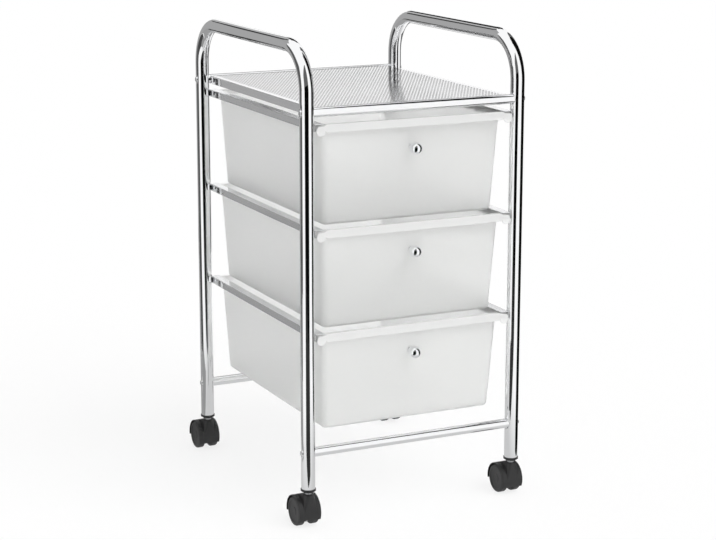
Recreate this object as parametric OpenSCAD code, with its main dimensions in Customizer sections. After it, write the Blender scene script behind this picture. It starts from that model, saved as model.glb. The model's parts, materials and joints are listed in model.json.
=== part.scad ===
// Rolling cart with three hanging drawers, a perforated top shelf and four swivel casters.
// Millimetres. The front faces -Y, +X is to the right and the floor is z = 0.
// The origin is on the floor, under the middle of the cart's bounding box.

/* [Frame] */
// Distance between the left and right post centre lines
post_span_x = 313; // [260:1:420]
// Distance between the front and rear post centre lines
post_span_y = 370; // [320:1:460]
// Outer diameter of the bent side tubes
tube_d = 19; // [17:0.5:24]
// Wall of the side tubes
tube_wall = 1.2; // [0.8:0.1:2]
// Bend radius at the handle, measured on the centre line
bend_r = 58; // [40:1:70]
// Height of the handle's centre line above the upper crossbars
handle_up = 82.5; // [75:0.5:140]

/* [Crossbars] */
// Outer diameter of the straight crossbars
bar_d = 13; // [12:0.5:16]
// Wall of the crossbars
bar_wall = 1.2; // [0.8:0.1:1.8]
// Height of the lower crossbars above the open ends of the side tubes
low_bar_up = 50; // [44:1:90]
// Length of the threaded plug inside a crossbar
plug_len = 20; // [14:1:30]
// How much wider a post's pressed seat for a crossbar is at the surface, each side
bar_seat_flare = 1.8; // [1:0.1:2.5]
// Depth of a post's pressed seat for a screw's head
head_seat_depth = 1.2; // [0.8:0.1:1.6]
// How much wider that seat is at the surface, each side
head_seat_flare = 2.6; // [1:0.1:3]
// Diameter of the crossbar screws
screw_d = 5; // [4:0.5:6]
// Length of the crossbar screws under the head
screw_len = 31; // [26:1:36]
// Diameter of a crossbar screw's head
screw_head_d = 8.4; // [7:0.2:10]
// Height of a crossbar screw's head
screw_head_h = 2.4; // [1.6:0.2:3]
// Hexagon socket of a crossbar screw, across its corners
screw_socket = 3.6; // [2.6:0.2:4]

/* [Shelf] */
// Thickness of the shelf sheet and of the runners
sheet_t = 1; // [0.8:0.1:1.5]
// Height of the shelf's top face above the upper crossbars' centre line
shelf_up = 5; // [4:0.5:6]
// Height of the shelf's folded side edges
shelf_skirt = 11; // [8:0.5:16]
// Gap between the top drawer's lip and the upper crossbars
shelf_gap = 9.4; // [6:0.2:20]

/* [Runners] */
// Height of a runner's web
runner_h = 10; // [9:0.5:14]
// Width of a runner's flanges
runner_w = 13; // [10:0.5:16]
// Length of runner past the post centre line
runner_over = 3.5; // [2:0.5:6]
// Diameter of the weld bead between runner and post
weld_d = 3; // [2:0.5:4]

/* [Drawers] */
// Depth of a drawer below its runners
tub_drop = 126.5; // [90:0.5:160]
// Wall of a drawer
tub_wall = 2; // [1.6:0.1:3]
// Corner radius of a drawer, seen from above
tub_corner_r = 5.5; // [4.5:0.5:24]
// Corner radius of the rim round a drawer's top
rim_corner_r = 7; // [4:0.5:12]
// Height of the slope along the bottom edge
tub_foot_h = 4; // [2:0.5:8]
// Width of the slope along the bottom edge
tub_foot_w = 2; // [1:0.5:3]
// How much narrower a drawer is at its bottom, each side
tub_taper_x = 5.8; // [3:0.1:9]
// How much shorter a drawer is at its bottom, each end
tub_taper_y = 11.5; // [6:0.1:14]
// Overhang of the front lip past the drawer's wall
lip_reach = 12; // [8:0.5:16]
// Thickness of the lip and of the rim
lip_t = 2.2; // [1.8:0.1:3]
// Height of the front lip above the runner's lower face
lip_up = 9.6; // [9:0.1:14]
// Drop of the front lip below the runner's lower face
lip_down = 1.5; // [0:0.1:4]
// Radius of the rounded tab at each end of the front lip
tab_r = 6.5; // [4:0.5:8]
// How far the tabs hang below the lip's straight edge
tab_drop = 4.5; // [2:0.5:6]
// Reach of the rim past the drawer's rear wall
rear_rim = 6.5; // [4:0.5:10]
// Gap between a drawer's bottom and the lip of the drawer below
stack_gap = 3.9; // [2:0.1:12]
// Gap between the lowest drawer and the lower crossbars
low_gap = 20; // [8:0.5:60]

/* [Knobs] */
// Diameter of a knob's ball
knob_d = 17; // [14:0.5:24]
// Distance from the drawer's face to the ball's centre
knob_out = 14.5; // [12:0.5:20]
// Diameter of a knob's neck
knob_neck_d = 7.5; // [6:0.5:10]
// Diameter of a knob's foot
knob_foot_d = 10.5; // [9:0.5:14]
// Thickness of a knob's foot
knob_foot_h = 1.6; // [1:0.2:3]
// Height of the knob below the runner's lower face
knob_below = 30; // [20:1:60]
// Diameter of a knob screw
knob_screw_d = 4; // [3:0.5:5]
// Length of a knob screw under its head
knob_screw_len = 11; // [8:0.5:14]
// Diameter of a knob screw's head
knob_screw_head_d = 8; // [6:0.2:10]
// Height of a knob screw's head
knob_screw_head_h = 2.2; // [1.6:0.2:3]
// Hexagon socket of a knob screw, across its corners
knob_screw_socket = 3.2; // [2.4:0.2:3.6]

/* [Casters] */
// Wheel diameter
wheel_d = 40; // [30:1:50]
// Width of one wheel
wheel_w = 9.4; // [8:0.2:12]
// Thickness of a wheel's tread ring
tread_t = 3.2; // [2.4:0.2:4]
// Rounding of a tread's outer edge
tread_round = 2.2; // [1:0.2:3]
// Thickness of a wheel's outer disc
disc_t = 2; // [1.6:0.1:2.6]
// Width of the raised ring round a wheel's disc
disc_ring = 2.6; // [1:0.2:4]
// Depth of the dish inside that ring
dish = 0.8; // [0.4:0.1:1]
// Diameter of a wheel's hub
hub_d = 10; // [9:0.5:14]
// Distance that the axle trails behind the stem
trail = 15; // [12:0.5:18]
// Width of the hood's middle body, between the wheels
web_w = 11; // [10.5:0.5:14]
// Diameter of the middle body round the axle
web_hub_d = 13; // [10:0.5:16]
// Wall of the hood over the wheels
hood_wall = 1.4; // [1.2:0.1:2.5]
// How far the hood covers the wheels' outer faces sideways
hood_side = 0.6; // [0:0.1:2]
// Rise of the hood's stem boss above the hood's round top
boss_up = 4.4; // [3:0.2:8]
// Radius of the stem boss
boss_r = 8; // [7:0.5:10]
// Height of the stem boss's straight rim
boss_rim = 1.6; // [0.6:0.2:3]
// Width of the saddle that joins the boss to the round hood
saddle_w = 18; // [12:0.5:24]
// How far the hood reaches below the axle at its front end, in degrees
hood_front = 24; // [10:1:35]
// How far the hood reaches below the axle at its rear end, in degrees
hood_rear = 12; // [5:1:25]
// Axle diameter
axle_d = 5; // [4:0.5:6]
// Length of axle inside each wheel
axle_reach = 7; // [5:0.1:7.2]
// Stem diameter
stem_d = 8; // [7:0.5:8]
// Height of the stem's shoulder, between hood and socket
shoulder_h = 2.8; // [2:0.2:6]
// Diameter of the stem's shoulder
shoulder_d = 9.6; // [9:0.2:12]
// Length of stem inside the socket
stem_up = 30; // [24:1:36]
// Length of stem inside the hood
stem_down = 20; // [12:1:21]
// Length of socket past the stem's upper end
socket_over = 2; // [0:0.5:6]
// Height of the socket's collar
collar_h = 4.8; // [3:0.2:7]
// Height of the collar's straight rim
collar_rim = 2.6; // [0.6:0.2:2.8]
// Diameter of the collar's lower end
collar_low_d = 14; // [12:0.5:18]
// How far the socket's collar stands out past the tube
collar_lip = 0.9; // [0.5:0.1:2]
// Height of the spring grip ring on the stem
grip_h = 2.6; // [2:0.2:4]
// Distance from the stem's upper end to the grip ring's groove
grip_down = 5.2; // [3:0.2:10]
// Width of the slit in the grip ring
grip_slit = 1.6; // [1:0.2:2.4]
// Depth of the grip ring's groove in the stem
grip_groove = 0.8; // [0.5:0.1:1.2]

/* [Clearances] */
// Gap between a drawer's rim and its runner's flanges
slide_gap_z = 0.3; // [0.3:0.05:0.6]
// Gap between a drawer's rim and its runner's web
slide_gap_x = 0.5; // [0.4:0.1:1]
// Gap between a drawer's wall and the runner's flange
tub_gap_x = 3.2; // [2:0.1:6]
// Gap between the front lip and the runner's end when shut
lip_gap = 0.8; // [0.5:0.1:2]
// Gap between a wheel and the hood's inside
wheel_gap = 1.2; // [0.8:0.1:2]
// Gap between a wheel and the hood's middle body
wheel_side_gap = 0.5; // [0.3:0.1:1]
// Gap between the hood's boss and the stem's shoulder
swivel_gap = 0.4; // [0.3:0.1:1]
// Radial running clearance of stem and axle
run_fit = 0.05; // [0.03:0.01:0.08]
// Radial clearance of parts that are pushed or screwed together
push_fit = 0.1; // [0.05:0.05:0.2]

/* [Hidden] */
$fn = 48;
over = 1;
disc = 0.1;
blend_sides = 32;
arc_steps = 6;
screw_rim_share = 0.4;
screw_top_share = 0.6;

// Caster heights, from the floor up
axle_z = wheel_d / 2;
pocket_r = wheel_d / 2 + wheel_gap;
hood_r = pocket_r + hood_wall;
boss_top_z = axle_z + hood_r + boss_up;
shoulder_z = boss_top_z + swivel_gap;
collar_z = shoulder_z + shoulder_h;
tube_end_z = collar_z + collar_h;
stem_top_z = tube_end_z + stem_up;
grip_z = stem_top_z - grip_down - grip_h;
hood_half_w = web_w / 2 + wheel_side_gap + wheel_w + hood_side;
axle_half = web_w / 2 + wheel_side_gap + axle_reach;

// Frame heights, built up from the open tube ends
low_bar_z = tube_end_z + low_bar_up;
low_runner_z = low_bar_z + bar_d / 2 + low_gap + tub_drop;
drawer_pitch = tub_drop + lip_up + stack_gap;
function runner_z(level) = low_runner_z + level * drawer_pitch;
top_bar_z = runner_z(2) + lip_up + shelf_gap + bar_d / 2;
shelf_z = top_bar_z + shelf_up;
handle_z = top_bar_z + handle_up;

// Places across the frame
post_x = post_span_x / 2;
rail_x = post_x - tube_d / 2;
tube_bore = tube_d - 2 * tube_wall;
bar_bore = bar_d - 2 * bar_wall;
bar_seat_d = bar_d + 4 * push_fit;
bar_seat_depth = tube_d / 2 - sqrt(pow(tube_d / 2, 2) - pow(bar_seat_d / 2, 2));
head_seat_d = screw_head_d + 4 * push_fit;
bar_half_len = rail_x + bar_seat_depth;

// Drawer sizes, half widths and half lengths
tub_x = rail_x - runner_w - tub_gap_x;
rim_x = rail_x - sheet_t - slide_gap_x;
rim_top = runner_h - sheet_t - slide_gap_z;
rim_low = sheet_t + slide_gap_z;
lip_front = post_span_y / 2 + runner_over + lip_gap + lip_t;
tub_y = lip_front - lip_reach;
lip_mid_x = rail_x - runner_w - slide_gap_x;
tub_h = tub_drop + rim_top;
face_tilt = atan(tub_taper_y / tub_h);
knob_rise = tub_drop - knob_below;
knob_face_y = tub_y - tub_taper_y + knob_rise * tan(face_tilt);

// The frame's middle, placed so that the bounding box is centred on the origin
front_reach = knob_face_y + knob_out * cos(face_tilt) + knob_d / 2;
rear_reach = post_span_y / 2 + trail + hood_r;
mid_y = (front_reach - rear_reach) / 2;
front_y = mid_y - post_span_y / 2;
rear_y = mid_y + post_span_y / 2;

// A rod along X, centred on x = 0
module rod_x(d, length) {
    rotate([0, 90, 0])
        cylinder(d = d, h = length, center = true);
}

// A plate with round corners, flat on z = 0
module round_plate(half_x, half_y, r, h) {
    translate([-half_x + r, -half_y, 0])
        cube([2 * (half_x - r), 2 * half_y, h]);
    translate([-half_x, -half_y + r, 0])
        cube([2 * half_x, 2 * (half_y - r), h]);
    for (sx = [-1, 1], sy = [-1, 1])
        translate([sx * (half_x - r), sy * (half_y - r), 0])
            cylinder(r = r, h = h);
}

// The bent path of one side tube as a solid rod: post, bend, handle, bend, post
module side_path(d, low_z) {
    for (s = [-1, 1])
        translate([0, mid_y + s * post_span_y / 2, low_z])
            cylinder(d = d, h = handle_z - bend_r - low_z);
    translate([0, mid_y, handle_z])
        rotate([90, 0, 0])
            cylinder(d = d, h = post_span_y - 2 * bend_r, center = true);
    for (s = [-1, 1])
        translate([0, mid_y + s * (post_span_y / 2 - bend_r), handle_z - bend_r])
            rotate([90, 0, 90])
                rotate([0, 0, s > 0 ? 0 : 90])
                    rotate_extrude(angle = 90)
                        translate([bend_r, 0])
                            circle(d = d);
}

// A cone along X that opens towards the outside of a post, at a seat of one depth and width
module seat_cone(side, depth, d, flare, wall) {
    slope = flare / depth;
    length = depth + wall + over;
    translate([side * (tube_d / 2 - depth - wall), 0, 0])
        rotate([0, side * 90, 0])
            cylinder(d1 = d + 2 * wall, d2 = d + 2 * wall + 2 * slope * length, h = length);
}

// The two pressed seats of one joint: crossbar inside, screw head outside
module joint_seats(side, wall) {
    seat_cone(-side, bar_seat_depth, bar_seat_d, bar_seat_flare, wall);
    seat_cone(side, head_seat_depth, head_seat_d, head_seat_flare, wall);
}

// Places its children at a post's four crossbar joints
module at_joints() {
    for (y = [front_y, rear_y], z = [low_bar_z, top_bar_z])
        translate([0, y, z])
            children();
}

// One inverted-U side tube, with its wall pressed in and drilled at the four joints
module side_frame(side) {
    color("silver")
        translate([side * post_x, 0, 0])
            difference() {
                side_path(tube_d, tube_end_z);
                difference() {
                    side_path(tube_bore, tube_end_z - over);
                    at_joints()
                        joint_seats(side, tube_wall);
                }
                at_joints()
                    joint_seats(side, 0);
                at_joints()
                    rod_x(screw_d + 4 * push_fit, tube_d + 2 * over);
            }
}

// A straight crossbar tube between the two sides
module crossbar(y, z) {
    color("silver")
        translate([0, y, z])
            difference() {
                rod_x(bar_d, 2 * bar_half_len);
                rod_x(bar_bore, 2 * bar_half_len + 2 * over);
            }
}

// Threaded plugs inside the crossbars' ends
module crossbar_plugs() {
    color("silver")
        for (side = [-1, 1], y = [front_y, rear_y], z = [low_bar_z, top_bar_z])
            translate([side * (bar_half_len - plug_len / 2), y, z])
                difference() {
                    rod_x(bar_bore - 2 * push_fit, plug_len);
                    rod_x(screw_d + 2 * push_fit, plug_len + 2 * over);
                }
}

// Button-head screws through the posts into the plugs
module crossbar_screws() {
    color("silver")
        for (side = [-1, 1], y = [front_y, rear_y], z = [low_bar_z, top_bar_z])
            translate([side * (post_x + tube_d / 2 - head_seat_depth), y, z])
                rotate([0, side * 90, 0])
                    button_screw(screw_d, screw_len, screw_head_d, screw_head_h, screw_socket);
}

// A screw along Z: the head's seat is z = 0 and the shank points down
module button_screw(d, length, head_d, head_h, socket_d) {
    rim_h = head_h * screw_rim_share;
    translate([0, 0, -length])
        cylinder(d = d, h = length);
    difference() {
        union() {
            cylinder(d = head_d, h = rim_h);
            translate([0, 0, rim_h])
                cylinder(d1 = head_d, d2 = head_d * screw_top_share, h = head_h - rim_h);
        }
        translate([0, 0, rim_h])
            cylinder(d = socket_d, h = head_h, $fn = 6);
    }
}

// The top shelf: a sheet between the upper crossbars, folded down along both sides
module shelf_panel() {
    skirt_half_y = post_span_y / 2 - bar_d / 2 - slide_gap_x;
    color("gainsboro")
        translate([0, mid_y, 0])
            union() {
                difference() {
                    translate([-rail_x, -post_span_y / 2, shelf_z - sheet_t])
                        cube([2 * rail_x, post_span_y, sheet_t]);
                    for (s = [-1, 1])
                        translate([0, s * post_span_y / 2, top_bar_z])
                            rod_x(bar_d, 2 * rail_x + 2 * over);
                }
                for (s = [-1, 1])
                    translate([s * (rail_x - sheet_t / 2), 0, shelf_z - shelf_skirt / 2])
                        cube([sheet_t, 2 * skirt_half_y, shelf_skirt], center = true);
            }
}

// A channel runner with its open side inwards, welded to the front and rear post
module runner(side, level) {
    z = runner_z(level);
    half_y = post_span_y / 2 + runner_over;
    color("silver")
        translate([side * rail_x, mid_y, z])
            union() {
                difference() {
                    translate([side > 0 ? -runner_w : 0, -half_y, 0])
                        cube([runner_w, 2 * half_y, runner_h]);
                    translate([side > 0 ? -runner_w - sheet_t : sheet_t, -half_y - over, sheet_t])
                        cube([runner_w, 2 * half_y + 2 * over, runner_h - 2 * sheet_t]);
                }
                for (s = [-1, 1])
                    translate([0, s * post_span_y / 2, 0])
                        runner_weld(side);
            }
}

// The two weld beads where a runner's web meets the round post
module runner_weld(side) {
    difference() {
        for (s = [-1, 1])
            translate([0, s * weld_d / 2, 0])
                cylinder(d = weld_d, h = runner_h);
        translate([side * tube_d / 2, 0, -over])
            cylinder(d = tube_d, h = runner_h + 2 * over);
        translate([side > 0 ? -weld_d : 0, -weld_d * 2, -over])
            cube([weld_d, weld_d * 4, runner_h + 2 * over]);
    }
}

// Four corner discs of a drawer's outline at one height
module tub_corners(z, half_x, half_y, r) {
    for (sx = [-1, 1], sy = [-1, 1])
        translate([sx * (half_x - r), sy * (half_y - r), z])
            cylinder(r = r, h = disc, $fn = blend_sides);
}

// How far the taper has run at a height: 0 at the rim and 1 at the bottom
function taper_at(z) = (rim_top - z) / tub_h;

// The tapered body of a drawer, shrunk on every side by inset
module tub_body(inset, top_z) {
    r = tub_corner_r - inset;
    low_z = -tub_drop + inset;
    foot_x = tub_x - tub_taper_x * taper_at(low_z + tub_foot_h) - inset;
    foot_y = tub_y - tub_taper_y * taper_at(low_z + tub_foot_h) - inset;
    top_x = tub_x - tub_taper_x * taper_at(top_z - disc) - inset;
    top_y = tub_y - tub_taper_y * taper_at(top_z - disc) - inset;
    hull() {
        tub_corners(low_z, foot_x - tub_foot_w, foot_y - tub_foot_w, r - tub_foot_w);
        tub_corners(low_z + tub_foot_h, foot_x, foot_y, r);
        tub_corners(top_z - disc, top_x, top_y, r);
    }
}

// The rim round a drawer's top: a flat flange with its edge turned down
module tub_rim() {
    flange_rear = tub_y + rear_rim;
    flange_front = lip_front - lip_t;
    half_y = (flange_rear + flange_front) / 2;
    translate([0, (flange_rear - flange_front) / 2, 0])
        difference() {
            translate([0, 0, rim_low])
                round_plate(rim_x, half_y, rim_corner_r, rim_top - rim_low);
            translate([0, 0, rim_low - over])
                round_plate(rim_x - lip_t, half_y - lip_t, rim_corner_r - lip_t,
                    rim_top - rim_low - lip_t + over);
        }
}

// The front lip, seen from the front as a band with a rounded tab at each end
module tub_lip() {
    translate([-lip_mid_x, -lip_front, -lip_down])
        cube([2 * lip_mid_x, lip_t, lip_up + lip_down]);
    for (s = [-1, 1]) {
        translate([s > 0 ? 0 : -rim_x, -lip_front, -lip_down])
            cube([rim_x, lip_t, rim_top + lip_down]);
        translate([s * (rim_x - tab_r), -lip_front + lip_t, tab_r - lip_down - tab_drop])
            rotate([90, 0, 0])
                cylinder(r = tab_r, h = lip_t);
    }
}

// A drawer that hangs by its rim between two runners, with the knob's hole
module drawer_tub(level) {
    color([0.93, 0.94, 0.94, 0.8])
        translate([0, mid_y, runner_z(level)])
            difference() {
                union() {
                    tub_body(0, rim_top);
                    tub_rim();
                    tub_lip();
                }
                tub_body(tub_wall, rim_top + over);
                at_knob()
                    cylinder(d = knob_screw_d + 2 * push_fit, h = 4 * tub_wall, center = true);
            }
}

// Places its children on the drawer's front face, with local +Z pointing outwards
module at_knob() {
    translate([0, -knob_face_y, -knob_below])
        rotate([90 + face_tilt, 0, 0])
            children();
}

// A ball knob with neck, foot and a blind threaded hole
module drawer_knob(level) {
    color("silver")
        translate([0, mid_y, runner_z(level)])
            at_knob()
                difference() {
                    union() {
                        cylinder(d = knob_foot_d, h = knob_foot_h);
                        cylinder(d = knob_neck_d, h = knob_out);
                        translate([0, 0, knob_out])
                            sphere(d = knob_d);
                    }
                    translate([0, 0, -over])
                        cylinder(d = knob_screw_d + 2 * push_fit, h = knob_screw_len - tub_wall + 2 * over);
                }
}

// The screw that holds a knob, put in from inside the drawer
module knob_screw(level) {
    color("silver")
        translate([0, mid_y, runner_z(level)])
            at_knob()
                translate([0, 0, -tub_wall * cos(face_tilt)])
                    rotate([180, 0, 0])
                        button_screw(knob_screw_d, knob_screw_len, knob_screw_head_d, knob_screw_head_h,
                            knob_screw_socket);
}

// Places its children at a caster's stem axis on the floor
module at_caster(sx, sy) {
    translate([sx * post_x, mid_y + sy * post_span_y / 2, 0])
        children();
}

// The plastic socket in a tube end, with its collar below the tube
module socket(sx, sy) {
    socket_len = stem_up + socket_over;
    color("dimgray")
        at_caster(sx, sy)
            difference() {
                union() {
                    translate([0, 0, tube_end_z - collar_rim])
                        cylinder(d = tube_d + 2 * collar_lip, h = collar_rim);
                    translate([0, 0, collar_z])
                        cylinder(d1 = collar_low_d, d2 = tube_d + 2 * collar_lip, h = collar_h - collar_rim);
                    translate([0, 0, tube_end_z])
                        cylinder(d = tube_bore - 2 * push_fit, h = socket_len);
                }
                translate([0, 0, collar_z - over])
                    cylinder(d = stem_d + 2 * push_fit, h = collar_h + socket_len + 2 * over);
            }
}

// The steel stem: it is held in the socket and the hood turns on its lower end
module stem(sx, sy) {
    color("silver")
        at_caster(sx, sy)
            difference() {
                union() {
                    translate([0, 0, boss_top_z - stem_down])
                        cylinder(d = stem_d, h = stem_top_z - boss_top_z + stem_down);
                    translate([0, 0, shoulder_z])
                        cylinder(d = shoulder_d, h = shoulder_h);
                }
                translate([0, 0, grip_z])
                    difference() {
                        cylinder(d = stem_d + over, h = grip_h);
                        cylinder(d = stem_d - 2 * grip_groove, h = grip_h);
                    }
            }
}

// Split spring rings that grip the sockets
module stem_grip_rings() {
    color("gray")
        for (sx = [-1, 1], sy = [-1, 1])
            at_caster(sx, sy)
                translate([0, 0, grip_z + push_fit])
                    difference() {
                        cylinder(d = stem_d + push_fit, h = grip_h - 2 * push_fit);
                        translate([0, 0, -over])
                            cylinder(d = stem_d - 2 * grip_groove + push_fit, h = grip_h + 2 * over);
                        translate([0, -grip_slit / 2, -over])
                            cube([stem_d, grip_slit, grip_h + 2 * over]);
                    }
}

// Places its children at a caster's axle, with local +Y to the rear and +Z up
module at_axle(sx, sy) {
    at_caster(sx, sy)
        translate([0, trail, axle_z])
            children();
}

// The part of a caster's side view that lies below the hood's two ends
module below_hood() {
    far = 2 * hood_r;
    rear_drop = far * tan(hood_rear);
    front_drop = far * tan(hood_front);
    rotate([90, 0, 90])
        linear_extrude(height = 4 * hood_half_w, center = true)
            polygon([[0, 0], [far, -rear_drop], [far, -far], [-far, -far], [-far, -front_drop]]);
}

// A hood that covers both wheels, with a boss that turns on the stem
module hood(sx, sy) {
    pocket_x = web_w / 2;
    color("#2b2b2d")
        at_axle(sx, sy)
            difference() {
                union() {
                    difference() {
                        union() {
                            rod_x(2 * hood_r, 2 * hood_half_w);
                            hull() {
                                rotate([0, 90, 0])
                                    cylinder(r = hood_r, h = saddle_w, center = true, $fn = blend_sides);
                                translate([0, -trail, boss_top_z - axle_z - boss_rim])
                                    cylinder(r = boss_r, h = boss_rim, $fn = blend_sides);
                            }
                        }
                        below_hood();
                        for (s = [-1, 1])
                            translate([s * (pocket_x + hood_half_w), 0, 0])
                                rod_x(2 * pocket_r, 2 * hood_half_w);
                    }
                    rod_x(web_hub_d, web_w);
                }
                rod_x(axle_d, 2 * web_w);
                translate([0, -trail, boss_top_z - axle_z - stem_down - over])
                    cylinder(d = stem_d + 2 * run_fit, h = stem_down + 2 * over);
            }
}

// The axle pin, pressed into the hood, with its ends inside both wheels
module axle(sx, sy) {
    color("gray")
        at_axle(sx, sy)
            rod_x(axle_d, 2 * axle_half);
}

// Points of a quarter arc from angle a, counted towards +90 degrees
function quarter(x, y, r, a) =
    [for (i = [0:arc_steps]) [x + r * cos(a + 90 * i / arc_steps), y + r * sin(a + 90 * i / arc_steps)]];

// Half of a wheel's section: radius, and distance from its inner side
function wheel_section(r, bore, bore_end) = concat(
    [
        [bore, 0],
        [hub_d / 2, 0],
        [hub_d / 2, wheel_w - dish - disc_t],
        [r - tread_t, wheel_w - dish - disc_t],
        [r - tread_t, 0]
    ],
    quarter(r - tread_round / 2, tread_round / 2, tread_round / 2, -90),
    quarter(r - tread_round, wheel_w - tread_round, tread_round, 0),
    [
        [r - tread_round - disc_ring, wheel_w],
        [r - tread_round - disc_ring - dish, wheel_w - dish],
        [0, wheel_w - dish],
        [0, bore_end],
        [bore, bore_end]
    ]
);

// A wheel with a rounded tread, a dished outer face and a hollow back
module wheel(sx, sy, side) {
    color("#3f4042")
        at_axle(sx, sy)
            rotate([0, side * 90, 0])
                translate([0, 0, web_w / 2 + wheel_side_gap])
                    rotate_extrude()
                        polygon(wheel_section(wheel_d / 2, axle_d / 2 + run_fit, axle_reach + push_fit));
}

side_frame(-1);  // left_side_frame
side_frame(1);  // right_side_frame
crossbar(front_y, top_bar_z);  // upper_front_crossbar
crossbar(rear_y, top_bar_z);  // upper_rear_crossbar
crossbar(front_y, low_bar_z);  // lower_front_crossbar
crossbar(rear_y, low_bar_z);  // lower_rear_crossbar
crossbar_plugs();
crossbar_screws();
shelf_panel();
runner(-1, 2);  // left_runner_top
runner(-1, 1);  // left_runner_middle
runner(-1, 0);  // left_runner_bottom
runner(1, 2);  // right_runner_top
runner(1, 1);  // right_runner_middle
runner(1, 0);  // right_runner_bottom
drawer_tub(2);  // drawer_tub_top
drawer_tub(1);  // drawer_tub_middle
drawer_tub(0);  // drawer_tub_bottom
drawer_knob(2);  // drawer_knob_top
drawer_knob(1);  // drawer_knob_middle
drawer_knob(0);  // drawer_knob_bottom
knob_screw(2);  // knob_screw_top
knob_screw(1);  // knob_screw_middle
knob_screw(0);  // knob_screw_bottom
socket(-1, -1);  // front_left_socket
socket(1, -1);  // front_right_socket
socket(-1, 1);  // rear_left_socket
socket(1, 1);  // rear_right_socket
stem(-1, -1);  // front_left_stem
stem(1, -1);  // front_right_stem
stem(-1, 1);  // rear_left_stem
stem(1, 1);  // rear_right_stem
stem_grip_rings();
hood(-1, -1);  // front_left_hood
hood(1, -1);  // front_right_hood
hood(-1, 1);  // rear_left_hood
hood(1, 1);  // rear_right_hood
axle(-1, -1);  // front_left_axle
axle(1, -1);  // front_right_axle
axle(-1, 1);  // rear_left_axle
axle(1, 1);  // rear_right_axle
wheel(-1, -1, -1);  // front_left_wheel_outer
wheel(-1, -1, 1);  // front_left_wheel_inner
wheel(1, -1, 1);  // front_right_wheel_outer
wheel(1, -1, -1);  // front_right_wheel_inner
wheel(-1, 1, -1);  // rear_left_wheel_outer
wheel(-1, 1, 1);  // rear_left_wheel_inner
wheel(1, 1, 1);  // rear_right_wheel_outer
wheel(1, 1, -1);  // rear_right_wheel_inner
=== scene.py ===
# %% [markdown]
# # A rolling drawer cart
# The cart is a chrome tube frame with three frosted drawers, a perforated shelf and four twin-wheel
# casters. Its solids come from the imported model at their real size, in metres, with the floor at z = 0
# and the front towards -Y. This lesson dresses them: it makes finer meshes for what shows, gives every
# piece a finish, and lights it as a studio would light chrome.

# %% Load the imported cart
import json
import math

import bmesh
import bpy
from mathutils import Matrix, Vector

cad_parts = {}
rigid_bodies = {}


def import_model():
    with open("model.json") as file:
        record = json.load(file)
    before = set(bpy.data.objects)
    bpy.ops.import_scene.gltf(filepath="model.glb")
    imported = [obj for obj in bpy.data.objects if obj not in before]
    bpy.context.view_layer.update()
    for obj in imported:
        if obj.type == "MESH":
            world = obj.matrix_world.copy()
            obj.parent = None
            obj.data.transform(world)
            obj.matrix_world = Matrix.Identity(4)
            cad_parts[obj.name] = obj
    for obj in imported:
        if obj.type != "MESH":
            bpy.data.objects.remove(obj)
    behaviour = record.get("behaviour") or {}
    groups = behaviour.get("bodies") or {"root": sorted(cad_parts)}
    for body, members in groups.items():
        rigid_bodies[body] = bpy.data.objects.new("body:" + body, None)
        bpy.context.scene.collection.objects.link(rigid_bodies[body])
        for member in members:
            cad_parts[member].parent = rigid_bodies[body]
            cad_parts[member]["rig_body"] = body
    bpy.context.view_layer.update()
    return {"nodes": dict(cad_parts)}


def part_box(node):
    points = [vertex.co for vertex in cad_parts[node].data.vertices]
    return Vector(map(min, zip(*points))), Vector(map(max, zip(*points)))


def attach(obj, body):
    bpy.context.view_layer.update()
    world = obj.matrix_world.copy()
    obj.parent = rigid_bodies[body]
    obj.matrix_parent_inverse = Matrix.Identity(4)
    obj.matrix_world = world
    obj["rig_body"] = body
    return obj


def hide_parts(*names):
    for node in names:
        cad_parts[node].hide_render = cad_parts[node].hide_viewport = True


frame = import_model()
nodes = frame["nodes"]

# %% [markdown]
# ## Sizes
# Places and outer sizes are read from the solids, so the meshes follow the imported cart. What a box
# doesn't tell, such as a wall or a fold's radius, is given in millimetres, and MM makes metres of it.

# %% Read the main sizes from the solids
MM = 0.001
SIDES = {"left": -1, "right": 1}
ENDS = {"front": -1, "rear": 1}
LEVELS = ("top", "middle", "bottom")
CORNERS = [(end, side) for end in ENDS for side in SIDES]

frame_lo, frame_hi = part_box("right_side_frame")
tube_r = (frame_hi.x - frame_lo.x) / 2
post_x = frame_hi.x - tube_r
front_y = frame_lo.y + tube_r
rear_y = frame_hi.y - tube_r
mid_y = (front_y + rear_y) / 2
tube_end_z = frame_lo.z
handle_z = frame_hi.z - tube_r
rail_x = post_x - tube_r
print(f"posts {2 * post_x / MM:.0f} x {(rear_y - front_y) / MM:.0f} mm apart,",
      f"handle at {handle_z / MM:.0f} mm")


def node_middle(name):
    """The middle of a node's box."""
    low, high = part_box(name)
    return (low + high) / 2


# %% [markdown]
# ## The camera
# The cart is seen from the front left and from above. Its place and turn were fitted to the posts,
# bars and runners, and a small downward shift keeps the posts closer to upright.

# %% Place the camera
PHOTO_W = 716
camera_place = Vector((-1168.5, -2455.3, 931.0)) * MM
camera_yaw, camera_pitch, camera_roll = 0.44808, 0.21361, 0.00106
focal_px = 1939.0

camera_data = bpy.data.cameras.new("camera")
camera_data.sensor_width = 36
camera_data.lens = focal_px / PHOTO_W * camera_data.sensor_width
camera_data.shift_y = -0.04
camera = bpy.data.objects.new("camera", camera_data)
camera.matrix_world = (
    Matrix.Translation(camera_place)
    @ Matrix.Rotation(-camera_yaw, 4, "Z")
    @ Matrix.Rotation(math.pi / 2 - camera_pitch, 4, "X")
    @ Matrix.Rotation(camera_roll, 4, "Z")
)
bpy.context.scene.collection.objects.link(camera)
bpy.context.scene.camera = camera
bpy.context.scene.view_settings.view_transform = "Standard"
print(f"lens {camera_data.lens:.1f} mm")

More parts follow.
